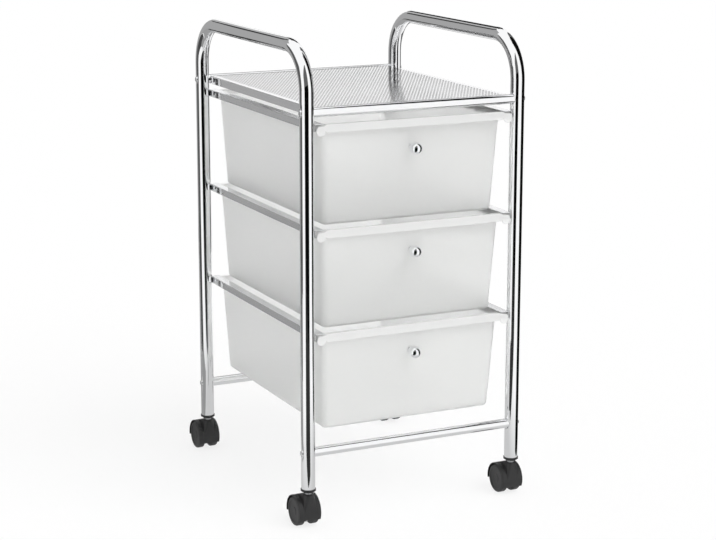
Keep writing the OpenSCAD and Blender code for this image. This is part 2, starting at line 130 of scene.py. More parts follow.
# %% [markdown]
# ## Shader maths as Python
# A finish is easier to read as a formula than as a picture of wires. This class holds one socket of a
# node tree, so that adding or multiplying two of them adds the Math node that does it.


# %% A socket that can be used in expressions
class Value:
    def __init__(self, tree, socket=None):
        self.tree, self.socket = tree, socket

    def node(self, kind, settings=None, inputs=None, output=0):
        """Adds any node: its settings first, then the values or links of its sockets.

        A socket is called by its name, or by its number where several have the same name.
        """
        made = self.tree.nodes.new("ShaderNode" + kind)
        for name, value in (settings or {}).items():
            setattr(made, name, value)
        for name, value in (inputs or {}).items():
            if isinstance(value, Value):
                self.tree.links.new(value.socket, made.inputs[name])
            else:
                made.inputs[name].default_value = value
        return Value(self.tree, made.outputs[output] if made.outputs else None)

    def math(self, operation, first, second=0.0):
        return self.node("Math", {"operation": operation}, {0: first, 1: second})

    def __add__(self, other):
        return self.math("ADD", self, other)

    def __sub__(self, other):
        return self.math("SUBTRACT", self, other)

    def __rsub__(self, other):
        return self.math("SUBTRACT", other, self)

    def __mul__(self, other):
        return self.math("MULTIPLY", self, other)

    def __truediv__(self, other):
        return self.math("DIVIDE", self, other)

    def below(self, other):
        return self.math("LESS_THAN", self, other)

    def above(self, other):
        return self.math("GREATER_THAN", self, other)

    def least(self, other):
        return self.math("MINIMUM", self, other)

    def most(self, other):
        return self.math("MAXIMUM", self, other)

    def size(self):
        return self.math("ABSOLUTE", self)

    def fraction(self):
        return self.math("FRACT", self)


# %% [markdown]
# ## A base for every finish
# Each finish is one Principled shader. What varies over a piece is a noise on Object coordinates, which
# here are real metres, so a grain has the same size on a wheel as on a drawer.


# %% Start a material, mix colours, spread noise
def new_finish(name, **fixed):
    """A material with one Principled shader, whose constant sockets are set by name."""
    material = bpy.data.materials.new(name)
    material.use_nodes = True
    tree = material.node_tree
    shader = tree.nodes["Principled BSDF"]
    for socket, value in fixed.items():
        shader.inputs[socket.replace("_", " ")].default_value = value
    return material, Value(tree), shader


def spread(tree, scale, stretch=(1, 1, 1), detail=3.0, roughness=0.5):
    """Noise between 0 and 1 that has its middle at 0.5, with features of about 1 / scale metres."""
    place = tree.node("TexCoord", output="Object")
    stretched = tree.node("Mapping", {}, {"Vector": place, "Scale": stretch})
    return tree.node("TexNoise", {}, {"Vector": stretched, "Scale": scale, "Detail": detail,
                                      "Roughness": roughness})


def shade_between(tree, factor, first, second):
    """A colour that runs from the first to the second with the factor.

    A Mix node has sockets for numbers, vectors and colours. The colours are inputs 6 and 7, output 2.
    """
    return tree.node("Mix", {"data_type": "RGBA"}, {0: factor, 6: (*first, 1), 7: (*second, 1)},
                     output=2)


def feed(tree, shader, **sockets):
    """Links values to the Principled shader's sockets by name."""
    for name, value in sockets.items():
        tree.tree.links.new(value.socket, shader.inputs[name.replace("_", " ")])


def bump(tree, height, strength, depth):
    return tree.node("Bump", {}, {"Height": height, "Strength": strength, "Distance": depth})


# %% [markdown]
# ## Chrome
# Plated steel is a mirror, so its look is mostly what it reflects. The plating itself is a little blue,
# has faint cloudy patches where it was polished less, and fine scratches along the way a hand or a
# cloth runs. The scratches only widen the reflection, so they go into the roughness.


# %% Chrome for tube, folded sheet, knobs and screw heads
def chrome(name, tint=0.97, least=0.03, most=0.08, along=(1, 1, 1)):
    material, tree, shader = new_finish(name, Metallic=1.0)
    clouds = spread(tree, 14, detail=2)
    scratches = spread(tree, 900, along, detail=4, roughness=0.7)
    fine = tree.node("MapRange", {}, {"Value": scratches, "From Min": 0.45, "From Max": 0.75,
                                      "To Min": least, "To Max": most})
    feed(tree, shader,
         Base_Color=shade_between(tree, clouds, (tint, tint * 1.005, tint * 1.01),
                                  (tint * 0.94, tint * 0.945, tint * 0.96)),
         Roughness=fine + clouds * 0.02)
    return material


ALONG_X, ALONG_Y, ALONG_Z = (0.03, 1, 1), (1, 0.03, 1), (1, 1, 0.03)
chrome_post = chrome("chrome_tube", along=ALONG_Z)
chrome_bar = chrome("chrome_bar", along=ALONG_X)
chrome_knob = chrome("chrome_knob", least=0.02, most=0.05)
chrome_screw = chrome("chrome_screw", tint=0.92, least=0.06, most=0.16)
chrome_runner = chrome("chrome_runner", tint=0.9, least=0.09, most=0.2, along=ALONG_Y)
print("chrome:", [m.name for m in (chrome_post, chrome_bar, chrome_knob, chrome_screw, chrome_runner)])

# %% [markdown]
# ## The perforated shelf sheet
# The sheet has thousands of small round holes in staggered rows. Cut in the mesh they would take over
# a million triangles, so the finish makes them: two square lattices, one shifted by half a step, give
# the distance to the nearest hole's middle, and Alpha is 0 inside a hole. The border and the folded
# edges below hole_floor stay plain. A second, darker finish with the same holes is for the steel that
# shows inside a hole: the same steel darkened, painted shade for a wall that lies in shadow.

# %% Perforated chrome sheet
hole_step = 4.8 * MM
hole_r = 1.5 * MM
row_step = hole_step * math.sqrt(3) / 2
plain_side = 9 * MM
hole_floor = 2.5 * MM
shelf_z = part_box("shelf_panel")[1].z


def perforated(name, bright, dull, rough):
    """Chrome with holes, whose colour runs between two greys."""
    material, tree, shader = new_finish(name, Metallic=1.0)
    place = tree.node("SeparateXYZ", {}, {"Vector": tree.node("TexCoord", output="Object")})
    x, y, z = [Value(tree.tree, axis) for axis in place.socket.node.outputs]

    def gap_squared(shift):
        """Distance squared to the nearest middle of one of the two lattices."""
        across = ((x / hole_step + shift).fraction() - 0.5) * hole_step
        along = ((y / (2 * row_step) + shift).fraction() - 0.5) * (2 * row_step)
        return across * across + along * along

    in_hole = gap_squared(0.0).least(gap_squared(0.5)).below(hole_r**2)
    in_field = x.size().below(rail_x - plain_side)
    on_top = z.above(shelf_z - hole_floor)
    clouds = spread(tree, 20, detail=2)
    scratches = spread(tree, 700, ALONG_X, detail=3)
    feed(tree, shader,
         Base_Color=shade_between(tree, clouds, (bright, bright, bright * 1.01),
                                  (dull, dull, dull * 1.015)),
         Roughness=scratches * 0.12 + rough,
         Alpha=1 - in_hole * in_field * on_top)
    return material


chrome_sheet = perforated("chrome_sheet", 0.95, 0.90, 0.06)
# The second finish is the same steel darkened: painted shade for the wall inside a hole.
hole_shade_steel = perforated("hole_shade_steel", 0.42, 0.30, 0.25)
print(f"holes every {hole_step / MM:.1f} mm")

# %% [markdown]
# ## Frosted plastic
# The drawers are milky polypropylene: light passes through them, but nothing behind shows sharply. A
# Principled shader with much transmission and a rough surface does that on a real 2 mm wall. A low IOR
# keeps light from being caught between the wall's two rough faces. The mould leaves a fine grain, and
# the milk in the plastic is slightly uneven. The front lip is thicker, so less light goes through it.


# %% Frosted drawer plastic
MILK_DULL, MILK_WHITE = (0.975, 0.98, 0.975), (0.995, 0.995, 0.99)


def frosted(name, through, bright=1.0):
    """The plastic with the share of the light that goes through it and the brightness of its milk."""
    material, tree, shader = new_finish(name, IOR=1.25, Transmission_Weight=through)
    milk = spread(tree, 9, detail=2)
    grain = spread(tree, 2600, detail=2)
    dull, white = [tuple(bright * part for part in shade) for shade in (MILK_DULL, MILK_WHITE)]
    feed(tree, shader,
         Base_Color=shade_between(tree, milk, dull, white),
         Roughness=grain * 0.1 + 0.45,
         Normal=bump(tree, grain, 0.12, 0.05 * MM))
    return material


frosted_plastic = frosted("frosted_plastic", 0.78)
frosted_lip = frosted("frosted_lip", 0.35, bright=0.93)
print("plastics:", frosted_plastic.name, "and", frosted_lip.name)

# %% [markdown]
# ## Dark caster plastic and plain steel
# Hoods, wheels and sockets are moulded nylon. They differ in shade: the wheels are greyer than the
# hoods, and their treads are scuffed by floors. Stems, axles and inner fasteners are zinc-plated.


# %% Moulded nylon and zinc-plated steel
def nylon(name, dark, light, rough):
    material, tree, shader = new_finish(name, IOR=1.53)
    patches = spread(tree, 60, detail=3)
    grain = spread(tree, 2200, detail=3, roughness=0.6)
    feed(tree, shader,
         Base_Color=shade_between(tree, patches, (dark,) * 3, (light, light, light * 1.04)),
         Roughness=grain * 0.14 + rough,
         Normal=bump(tree, grain, 0.25, 0.06 * MM))
    return material


def zinc(name):
    material, tree, shader = new_finish(name, Metallic=1.0)
    crystals = spread(tree, 500, detail=4)
    feed(tree, shader,
         Base_Color=shade_between(tree, crystals, (0.50, 0.51, 0.53), (0.64, 0.64, 0.65)),
         Roughness=crystals * 0.2 + 0.22)
    return material


hood_plastic = nylon("hood_plastic", 0.014, 0.024, 0.38)
wheel_plastic = nylon("wheel_plastic", 0.026, 0.040, 0.44)
black_plastic = nylon("black_plastic", 0.010, 0.016, 0.30)
zinc_steel = zinc("zinc_steel")
print("nylon:", [m.name for m in (hood_plastic, wheel_plastic, black_plastic)])
print("steel:", zinc_steel.name)

# %% [markdown]
# ## Finishing a mesh
# Every new piece goes through the same last step: its doubles are merged, its faces are turned
# outwards, round surfaces are shaded smooth with sharp edges kept, and it is tied to the body and node
# it stands for. Chrome shows every small error of the shading, so large faces then get the say over
# the small bevels beside them: flat sheet and straight tube mirror straight lines.


# %% Turn a bmesh into a finished piece
SAME_PLACE, SAME_HEIGHT = 1e-6, 1e-5
SHARP_ANGLE = math.radians(35)


def even_shading(piece):
    """Weights the normals by the size of the faces. It comes after the piece's other modifiers."""
    even = piece.modifiers.new("even_shading", "WEIGHTED_NORMAL")
    even.keep_sharp = True
    return piece


def finish_piece(mesh, name, node, material):
    """Makes the object, which replaces the node and rides on the node's body."""
    bmesh.ops.remove_doubles(mesh, verts=mesh.verts, dist=SAME_PLACE)
    bmesh.ops.recalc_face_normals(mesh, faces=mesh.faces)
    data = bpy.data.meshes.new(name)
    mesh.to_mesh(data)
    mesh.free()
    for face in data.polygons:
        face.use_smooth = True
    data.set_sharp_from_angle(angle=SHARP_ANGLE)
    data.materials.append(material)
    piece = bpy.data.objects.new(name, data)
    bpy.context.scene.collection.objects.link(piece)
    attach(piece, nodes[node]["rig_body"])
    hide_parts(node)
    return piece


print("edges sharper than", round(math.degrees(SHARP_ANGLE)), "degrees stay hard")

# %% [markdown]
# Some modelling steps come back on many pieces: finding the new faces or points of a step, a box, a
# round bevel, a wall for a surface, and a face that is pulled along a line.


# %% Tools for meshes
def faces_of(made):
    return [g for g in made["geom"] if isinstance(g, bmesh.types.BMFace)]


def verts_of(made):
    return [g for g in made["geom"] if isinstance(g, bmesh.types.BMVert)]


def block(mesh, middle, size):
    """Adds a box that stands square to the axes."""
    place = Matrix.Translation(middle) @ Matrix.Diagonal((*size, 1))
    bmesh.ops.create_cube(mesh, size=1, matrix=place)


def round_off(mesh, edges, width, steps):
    """Gives edges a round bevel."""
    bmesh.ops.bevel(mesh, geom=edges, offset=width, affect="EDGES", segments=steps, profile=0.5,
                    material=-1)


def thicken(piece, thickness):
    """Gives a surface its wall, on the inner side of its faces."""
    wall = piece.modifiers.new("wall", "SOLIDIFY")
    wall.thickness, wall.offset, wall.use_even_offset = thickness, -1, True


def pull(mesh, face, step):
    """Extrudes one face along a step and returns the moved face.

    Where the first face has become a wall inside the solid, it is deleted.
    """
    made = bmesh.ops.extrude_face_region(mesh, geom=[face])
    bmesh.ops.translate(mesh, verts=verts_of(made), vec=step)
    if any(len(edge.link_faces) > 2 for edge in face.edges):
        bmesh.ops.delete(mesh, geom=[face], context="FACES_ONLY")
    return faces_of(made)[0]


# %% [markdown]
# Hollows are cut with the Boolean modifier. Its MANIFOLD solver is quick and clean, but both shapes
# have to be closed, and the parts of one cutter must not overlap.


# %% Cut one shape out of another
def cut_away(piece, mesh):
    """Cuts a closed bmesh out of a piece with the Boolean modifier and keeps the result."""
    bmesh.ops.recalc_face_normals(mesh, faces=mesh.faces)
    data = bpy.data.meshes.new("cutter")
    mesh.to_mesh(data)
    mesh.free()
    cutter = bpy.data.objects.new("cutter", data)
    bpy.context.scene.collection.objects.link(cutter)
    modifier = piece.modifiers.new("cut", "BOOLEAN")
    modifier.operation, modifier.solver, modifier.object = "DIFFERENCE", "MANIFOLD", cutter
    shown = piece.evaluated_get(bpy.context.evaluated_depsgraph_get())
    result = bpy.data.meshes.new_from_object(shown)
    piece.modifiers.clear()
    piece.data = result
    bpy.data.objects.remove(cutter)
    bpy.data.meshes.remove(data)


# %% [markdown]
# ## The side tubes
# Each side is one steel tube bent into an upside-down U. A tube bender leaves true arcs, so the mesh
# follows the same way: a disc is pulled up the front post, spun a quarter turn, pulled along the
# handle, spun again and pulled down the rear post.

# %% Bend the two side tubes
bend_r = 58 * MM
TUBE_SIDES = 48
BEND_STEPS = 16


def quarter_bend(mesh, face, centre):
    """Spins the end face a quarter turn about an axis along X, from front to rear."""
    region = [face, *face.edges, *face.verts]
    made = bmesh.ops.spin(mesh, geom=region, cent=centre, axis=(1, 0, 0), angle=-math.pi / 2,
                          steps=BEND_STEPS)
    return next(g for g in made["geom_last"] if isinstance(g, bmesh.types.BMFace))


def side_tube(side):
    x = SIDES[side] * post_x
    straight = handle_z - bend_r - tube_end_z
    mesh = bmesh.new()
    bmesh.ops.create_circle(mesh, cap_ends=True, segments=TUBE_SIDES, radius=tube_r,
                            matrix=Matrix.Translation((x, front_y, tube_end_z)))
    end = pull(mesh, mesh.faces[:][0], (0, 0, straight))
    end = quarter_bend(mesh, end, (x, front_y + bend_r, handle_z - bend_r))
    end = pull(mesh, end, (0, rear_y - front_y - 2 * bend_r, 0))
    end = quarter_bend(mesh, end, (x, rear_y - bend_r, handle_z - bend_r))
    pull(mesh, end, (0, 0, -straight))
    return finish_piece(mesh, f"{side}_side_tube", f"{side}_side_frame", chrome_post)


side_tubes = {side: side_tube(side) for side in SIDES}
print("faces:", [len(tube.data.polygons) for tube in side_tubes.values()])

# %% [markdown]
# A press has pushed the tube in where a crossbar or a screw's head sits, so that both rest on a flat.
# Such a seat is a shallow cone. Eight cones are cut from each tube with a Boolean, which leaves
# exactly that hollow, because only the outside of the tube shows.

# %% Press the seats into the posts
bar_heights = {height: node_middle(f"{height}_front_crossbar").z for height in ("upper", "lower")}
bar_end_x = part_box("upper_front_crossbar")[1].x
bar_seat_r, bar_seat_flare = 6.7 * MM, 1.8 * MM
head_seat_r, head_seat_flare = 4.4 * MM, 2.6 * MM
head_seat_depth = 1.2 * MM
past_surface = 1 * MM
SEAT_SHARP_ANGLE = math.radians(30)
OUTWARDS = {side: Matrix.Rotation(sign * math.pi / 2, 4, "Y") for side, sign in SIDES.items()}
OTHER = {"left": "right", "right": "left"}


def seat_cone(mesh, place, facing, depth, radius, flare):
    """A cone from the seat, at the place, out past the tube's surface."""
    length = depth + past_surface
    wide = radius + flare * length / depth
    middle = Matrix.Translation(place) @ OUTWARDS[facing] @ Matrix.Translation((0, 0, length / 2))
    bmesh.ops.create_cone(mesh, cap_ends=True, segments=40, radius1=radius, radius2=wide,
                          depth=length, matrix=middle)


for side, sign in SIDES.items():
    seats = bmesh.new()
    for y in (front_y, rear_y):
        for z in bar_heights.values():
            inner = (sign * bar_end_x, y, z)
            outer = (sign * (post_x + tube_r - head_seat_depth), y, z)
            seat_cone(seats, inner, OTHER[side], bar_end_x - rail_x, bar_seat_r, bar_seat_flare)
            seat_cone(seats, outer, side, head_seat_depth, head_seat_r, head_seat_flare)
    cut_away(side_tubes[side], seats)
    side_tubes[side].data.set_sharp_from_angle(angle=SEAT_SHARP_ANGLE)
    even_shading(side_tubes[side])
print("seats are", round((bar_end_x - rail_x) / MM, 2), "mm deep")

# %% [markdown]
# ## Crossbars and their screws
# Four straight tubes tie the two sides together. A screw through each post holds each end, and its
# domed head shows on the outside. Turned parts such as the heads and the knobs are made as on a lathe:
# a few points of half the outline are spun round the axis.


# %% A lathe, and arcs for its outlines
def arc(centre_r, centre_h, radius, start, end, steps=6):
    """Points of an arc in an outline, as (distance from the axis, height), angles in degrees."""
    turn = [math.radians(start + (end - start) * i / steps) for i in range(steps + 1)]
    return [(centre_r + radius * math.cos(a), centre_h + radius * math.sin(a)) for a in turn]


def turned(mesh, outline, place, sides=40):
    """Spins an outline round local Z, then moves it to its place."""
    made = [mesh.verts.new((r, 0, h)) for r, h in outline]
    edges = [mesh.edges.new(pair) for pair in zip(made, made[1:])]
    bmesh.ops.spin(mesh, geom=made + edges, cent=(0, 0, 0), axis=(0, 0, 1), angle=2 * math.pi,
                   steps=sides, use_merge=True)
    shape = [v for v in mesh.verts if not v.tag]
    bmesh.ops.remove_doubles(mesh, verts=shape, dist=SAME_PLACE)
    shape = [v for v in mesh.verts if not v.tag]
    bmesh.ops.transform(mesh, matrix=place, verts=shape)
    for vert in shape:
        vert.tag = True


# %% [markdown]
# A crossbar is straight tube cut square. A plain cylinder would have knife-sharp rims, so a small bevel
# rounds them as a file does, and they catch a line of light.

# %% Crossbars
BAR_SIDES = 36
bar_rim = 0.5 * MM


def crossbar(name):
    low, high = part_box(name)
    radius = (high.z - low.z) / 2
    mesh = bmesh.new()
    bmesh.ops.create_cone(mesh, cap_ends=True, segments=BAR_SIDES, radius1=radius, radius2=radius,
                          depth=high.x - low.x,
                          matrix=Matrix.Translation(node_middle(name)) @ OUTWARDS["right"])
    rims = [e for e in mesh.edges if abs(e.verts[0].co.x - e.verts[1].co.x) < SAME_PLACE]
    round_off(mesh, rims, bar_rim, 2)
    return even_shading(finish_piece(mesh, name + "_tube", name, chrome_bar))


bars = [crossbar(f"{height}_{end}_crossbar") for height in ("upper", "lower") for end in ENDS]
print("crossbars:", len(bars))

# %% [markdown]
# A button head is a low dome with a socket for the key. It could be cut from a ball, but one outline on
# the lathe gives edge, dome and socket at once. All eight are one mesh, as the screws are one node.

# %% Screw heads
head_r = 4.2 * MM
head_h = 2.4 * MM
socket_r = 1.6 * MM
socket_depth = 1.1 * MM
socket_rim = 0.5 * MM
head_edge = 0.5 * MM
dome_r = 1.9 * MM
off_seat = 0.02 * MM
screw_top_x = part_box("crossbar_screws")[1].x


def screw_heads():
    outline = [(0, off_seat), (head_r, off_seat), (head_r, head_edge)]
    outline += arc(socket_r + socket_rim, head_edge, dome_r, 0, 90)
    outline += [(socket_r, head_h), (socket_r, head_h - socket_depth), (0, head_h - socket_depth)]
    mesh = bmesh.new()
    for side, sign in SIDES.items():
        for y in (front_y, rear_y):
            for z in bar_heights.values():
                seat = Matrix.Translation((sign * (screw_top_x - head_h), y, z))
                turned(mesh, outline, seat @ OUTWARDS[side], sides=24)
    return finish_piece(mesh, "crossbar_screw_heads", "crossbar_screws", chrome_screw)


print("screw heads:", len(screw_heads().data.polygons), "faces")

# %% [markdown]
# ## Folded sheet: runners and shelf
# Runners and shelf are flat steel, folded. The mesh is made like the part: a box loses the sides that
# are open, its fold lines get a small radius, and Solidify gives the sheet its thickness.

# %% Fold a box into a channel
sheet_t = 1.0 * MM
cut_edge = 0.12 * MM


def folded(name, node, material, low, high, open_sides, fold_r):
    """A sheet on the inside of a box, open on the sides whose outward directions are given."""
    mesh = bmesh.new()
    block(mesh, (low + high) / 2, high - low)
    bmesh.ops.recalc_face_normals(mesh, faces=mesh.faces)
    gone = [f for f in mesh.faces if any(f.normal.dot(Vector(o)) > 0.9 for o in open_sides)]
    bmesh.ops.delete(mesh, geom=gone, context="FACES")
    folds = [e for e in mesh.edges if len(e.link_faces) == 2]
    round_off(mesh, folds, fold_r, 5)
    piece = finish_piece(mesh, name, node, material)
    thicken(piece, sheet_t)
    edge = piece.modifiers.new("edge", "BEVEL")
    edge.width, edge.segments = cut_edge, 1
    edge.limit_method, edge.angle_limit = "ANGLE", math.radians(60)
    return even_shading(piece)


# %% [markdown]
# A runner is a channel that is open towards the drawer, whose rim slides in it. The solid's box also
# holds the weld beads at the posts, so the outer side is set to where the post begins.

# %% Runners
runner_fold_r = 1.3 * MM


def runner(side, level):
    node = f"{side}_runner_{level}"
    low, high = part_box(node)
    low, high = low.copy(), high.copy()
    if side == "left":
        low.x = -rail_x
    else:
        high.x = rail_x
    inwards = (-SIDES[side], 0, 0)
    return folded(f"{node}_channel", node, chrome_runner, low, high,
                  [inwards, (0, 1, 0), (0, -1, 0)], runner_fold_r)


runners = [runner(side, level) for side in SIDES for level in LEVELS]
print("runners:", len(runners))

# %% [markdown]
# The shelf is the same kind of sheet: open below and at both ends, with its long edges folded down.

# %% Shelf
shelf_fold_r = 2.0 * MM
shelf_lo, shelf_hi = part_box("shelf_panel")
folded("shelf_sheet", "shelf_panel", chrome_sheet, shelf_lo, shelf_hi,
       [(0, 0, -1), (0, 1, 0), (0, -1, 0)], shelf_fold_r)
print("shelf", [round(v / MM) for v in shelf_hi - shelf_lo], "mm")

# %% [markdown]
# Seen at a slant, a punched hole shows its own wall. Two foils inside the sheet have the same holes, so
# that a slanting ray ends on steel darkened with painted shade, while a look straight down still goes
# through.

# %% Foils inside the sheet
foil_t = 0.02 * MM
foil_depths = (0.33 * MM, 0.67 * MM)


# The foils carry the darkened finish, painted shade for the walls inside the holes.
def hole_foils():
    mesh = bmesh.new()
    size = (2 * (rail_x - plain_side), shelf_hi.y - shelf_lo.y - 2 * sheet_t, foil_t)
    for depth in foil_depths:
        middle = ((shelf_lo.x + shelf_hi.x) / 2, (shelf_lo.y + shelf_hi.y) / 2, shelf_z - depth)
        block(mesh, middle, size)
    return finish_piece(mesh, "shelf_hole_foils", "shelf_panel", hole_shade_steel)


print("foils:", hole_foils().name, "with", len(foil_depths), "layers")

# %% [markdown]
# ## The drawers
# Each drawer is one moulding: a tapered tub with round corners, a rim that runs in the runners with its
# edge turned down, and a stiff front lip with a rounded tab at each end. Only the box of a whole drawer
# can be read, so the places where it steps in are written down here.

# %% Sizes of a tub and its rim
runner_lo = {level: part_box(f"left_runner_{level}")[0].z for level in LEVELS}
tub_drop = 126.5 * MM
rim_top = 8.7 * MM
rim_low = 1.3 * MM
tub_half = Vector((rail_x - 16.2 * MM, 179.5 * MM))
tub_draw_in = Vector((5.8 * MM, 11.5 * MM))
corner_r = 5.5 * MM
foot_r = 3.5 * MM
tub_wall = 2 * MM
rim_half_x = rail_x - 1.5 * MM
rim_front = 189.3 * MM
rim_rear = 186 * MM
rim_bend = 1.6 * MM
print(f"drawer {2 * rim_half_x / MM:.0f} x {(rim_front + rim_rear) / MM:.0f} mm at its rim")

# %% [markdown]
# Tub and rim could be cut from a block, but as one surface the folds are simple: the foot is scaled,
# corners are bevelled, and the open edge is pulled outwards and then down. Solidify adds the wall
# last, so that it is equally thick everywhere.


# %% The tub and its rim
def tub_shell(mesh):
    """The open tub with its rim, as one surface that the wall is then given to."""
    size = Vector((2 * tub_half.x, 2 * tub_half.y, tub_drop + rim_top))
    block(mesh, (0, 0, (rim_top - tub_drop) / 2), size)
    top = [f for f in mesh.faces if f.normal.z > 0.9]
    bmesh.ops.delete(mesh, geom=top, context="FACES_ONLY")
    foot = [v for v in mesh.verts if v.co.z < 0]
    shrink = Vector((1 - tub_draw_in.x / tub_half.x, 1 - tub_draw_in.y / tub_half.y, 1))
    bmesh.ops.scale(mesh, vec=shrink, verts=foot)
    corners = [e for e in mesh.edges if abs(e.verts[0].co.z - e.verts[1].co.z) > tub_drop / 2]
    round_off(mesh, corners, corner_r, 7)
    floor_face = min(mesh.faces, key=lambda f: f.calc_center_median().z)
    round_off(mesh, list(floor_face.edges), foot_r, 5)
    rim = [e for e in mesh.edges if e.is_boundary]
    flange = verts_of(bmesh.ops.extrude_edge_only(mesh, edges=rim))
    stretch_y = (rim_front + rim_rear) / (2 * tub_half.y)
    bmesh.ops.scale(mesh, vec=(rim_half_x / tub_half.x, stretch_y, 1), verts=flange)
    bmesh.ops.translate(mesh, vec=(0, (rim_rear - rim_front) / 2, 0), verts=flange)
    edge = [e for e in mesh.edges if e.is_boundary]
    turned_down = verts_of(bmesh.ops.extrude_edge_only(mesh, edges=edge))
    bmesh.ops.translate(mesh, vec=(0, 0, rim_low - rim_top), verts=turned_down)
    bends = [e for e in mesh.edges if len(e.link_faces) == 2
             and all(abs(v.co.z - rim_top) < SAME_HEIGHT for v in e.verts)
             and e.calc_face_angle() > math.radians(60)]
    round_off(mesh, bends, rim_bend, 4)
    bmesh.ops.recalc_face_normals(mesh, faces=mesh.faces)


def drawer_tub(level):
    node = f"drawer_tub_{level}"
    mesh = bmesh.new()
    tub_shell(mesh)
    bmesh.ops.translate(mesh, vec=(0, mid_y, runner_lo[level]), verts=mesh.verts)
    piece = finish_piece(mesh, f"{level}_drawer_tub", node, frosted_plastic)
    thicken(piece, tub_wall)
    return even_shading(piece)


# %% [markdown]
# The lip stiffens the front and covers the runners' ends with a round tab on each side. Its outline is
# drawn as seen from the front and pulled back, and small bevels keep a line of light on its edges.

# %% The front lip
lip_front = 191.5 * MM
lip_half_x = rail_x - 13.5 * MM
lip_top = 9.6 * MM
lip_low = -1.5 * MM
lip_step = 2.0 * MM
lip_edge = 0.7 * MM
tab_r = 6.5 * MM
tab_drop = 4.5 * MM


def lip_outline():
    """The lip from the front: a band that steps down to a round tab at each end."""
    tab_x = rim_half_x - tab_r
    tab_z = tab_r + lip_low - tab_drop
    right = [(lip_half_x - lip_step, lip_top), (lip_half_x, lip_top - lip_step),
             (rim_half_x - lip_step, rim_top - lip_step)]
    right += [(tab_x + r, z) for r, z in arc(0, tab_z, tab_r, 0, -180, 14)]
    right += [(tab_x - tab_r - lip_step, lip_low)]
    left = [(-x, z) for x, z in reversed(right)]
    return right + left


def front_lip(level):
    mesh = bmesh.new()
    verts = [mesh.verts.new((x, mid_y - lip_front, runner_lo[level] + z)) for x, z in lip_outline()]
    face = mesh.faces.new(verts)
    pull(mesh, face, (0, lip_front - rim_front, 0))
    rims = [e for e in mesh.edges if abs(e.verts[0].co.y - e.verts[1].co.y) < SAME_PLACE]
    round_off(mesh, rims, lip_edge, 3)
    piece = finish_piece(mesh, f"{level}_drawer_lip", f"drawer_tub_{level}",
                         frosted_lip)
    return even_shading(piece)


for level in LEVELS:
    tub = drawer_tub(level)
    lip = front_lip(level)
    print(tub.name, len(tub.data.polygons), "and", lip.name, len(lip.data.polygons), "faces")

# %% [markdown]
# ## Knobs
# A polished ball on a short neck, square to the sloping face. The neck meets ball and foot in small
# hollow curves, as a die-cast knob does.

# %% Knobs
knob_r = 8.5 * MM
knob_out = 14.5 * MM
neck_r = 3.75 * MM
foot_plate_r = 5.25 * MM
foot_plate_h = 1.6 * MM
foot_plate_edge = 0.5 * MM
neck_hollow = 0.6 * MM
face_tilt = math.atan(tub_draw_in.y / (tub_drop + rim_top))


def knob(level):
    node = f"drawer_knob_{level}"
    low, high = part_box(node)
    ball = Vector((0, low.y + knob_r, high.z - knob_r))
    axis = Matrix.Rotation(math.pi / 2 + face_tilt, 4, "X")
    base = ball - axis.to_3x3() @ Vector((0, 0, knob_out))
    outline = [(0, 0), (foot_plate_r, 0), (foot_plate_r, foot_plate_h - foot_plate_edge),
               (foot_plate_r - foot_plate_edge, foot_plate_h)]
    outline += [(neck_r + neck_hollow, foot_plate_h), (neck_r, foot_plate_h + neck_hollow)]
    joint = math.degrees(math.asin(neck_r / knob_r))
    outline += arc(0, knob_out, knob_r, joint - 90, 90, 20)
    mesh = bmesh.new()
    turned(mesh, outline, Matrix.Translation(base) @ axis, sides=48)
    return finish_piece(mesh, f"{level}_knob", node, chrome_knob)


knobs = [knob(level) for level in LEVELS]
print("knobs:", len(knobs), "leaning", round(math.degrees(face_tilt), 1), "degrees")

# %% [markdown]
# ## Casters
# Each caster has a hood of black nylon that wraps over two grey wheels. A wheel has a hollow back,
# where the hub sticks out round its bore, and a dished face in a raised ring. It is round, so half of
# its section goes on the lathe: from the bore over the back, the tread and the face to the axis.

# %% Wheels
wheel_r = 20 * MM
tread_t = 3.2 * MM
tread_back_r, tread_face_r = 1.1 * MM, 2.4 * MM
ring_out, ring_in = 4.6 * MM, 5.4 * MM
disc_t = 2 * MM
dish = 0.8 * MM
cap_r, cap_top_r = 6 * MM, 5.4 * MM
cap_groove = 0.5 * MM
hub_r = 5 * MM
hub_face = 0.2 * MM
bore_r = 2.55 * MM
bore_mouth = 0.5 * MM
bore_gap = 0.1 * MM


def caster_axle(end, side):
    return node_middle(f"{end}_{side}_axle")


def wheel(end, side, place):
    """A wheel on its axle: rounded tread, raised ring, dished disc with a slight boss."""
    node = f"{end}_{side}_wheel_{place}"
    low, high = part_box(node)
    width = high.x - low.x
    faces_right = node_middle(node).x > caster_axle(end, side).x
    disc = width - dish
    start = caster_axle(end, side).copy()
    axle_lo, axle_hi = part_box(f"{end}_{side}_axle")
    inner_side = min(abs(low.x - start.x), abs(high.x - start.x))
    bore_end = (axle_hi.x - axle_lo.x) / 2 - inner_side + bore_gap
    outline = [(0, bore_end), (bore_r, bore_end), (bore_r, bore_mouth), (hub_r, hub_face),
               (hub_r, disc - disc_t), (wheel_r - tread_t, disc - disc_t), (wheel_r - tread_t, 0)]
    outline += arc(wheel_r - tread_back_r, tread_back_r, tread_back_r, -90, 0, 4)
    outline += arc(wheel_r - tread_face_r, width - tread_face_r, tread_face_r, 0, 90, 6)
    outline += [(wheel_r - ring_out, width), (wheel_r - ring_in, disc), (cap_r, disc - cap_groove),
                (cap_top_r, disc), (0, disc)]
    start.x = low.x if faces_right else high.x
    mesh = bmesh.new()
    facing = OUTWARDS["right" if faces_right else "left"]
    turned(mesh, outline, Matrix.Translation(start) @ facing, sides=56)
    return finish_piece(mesh, f"{end}_{side}_{place}_wheel", node, wheel_plastic)


print(f"wheels {2 * wheel_r / MM:.0f} mm across")

# %% [markdown]
# A hood could be drawn face by face, but its parts are simple. The first is round, so it is spun too,
# by just over half a turn: the bar of a T-shaped section covers both wheels, and its leg becomes the
# middle body between them.

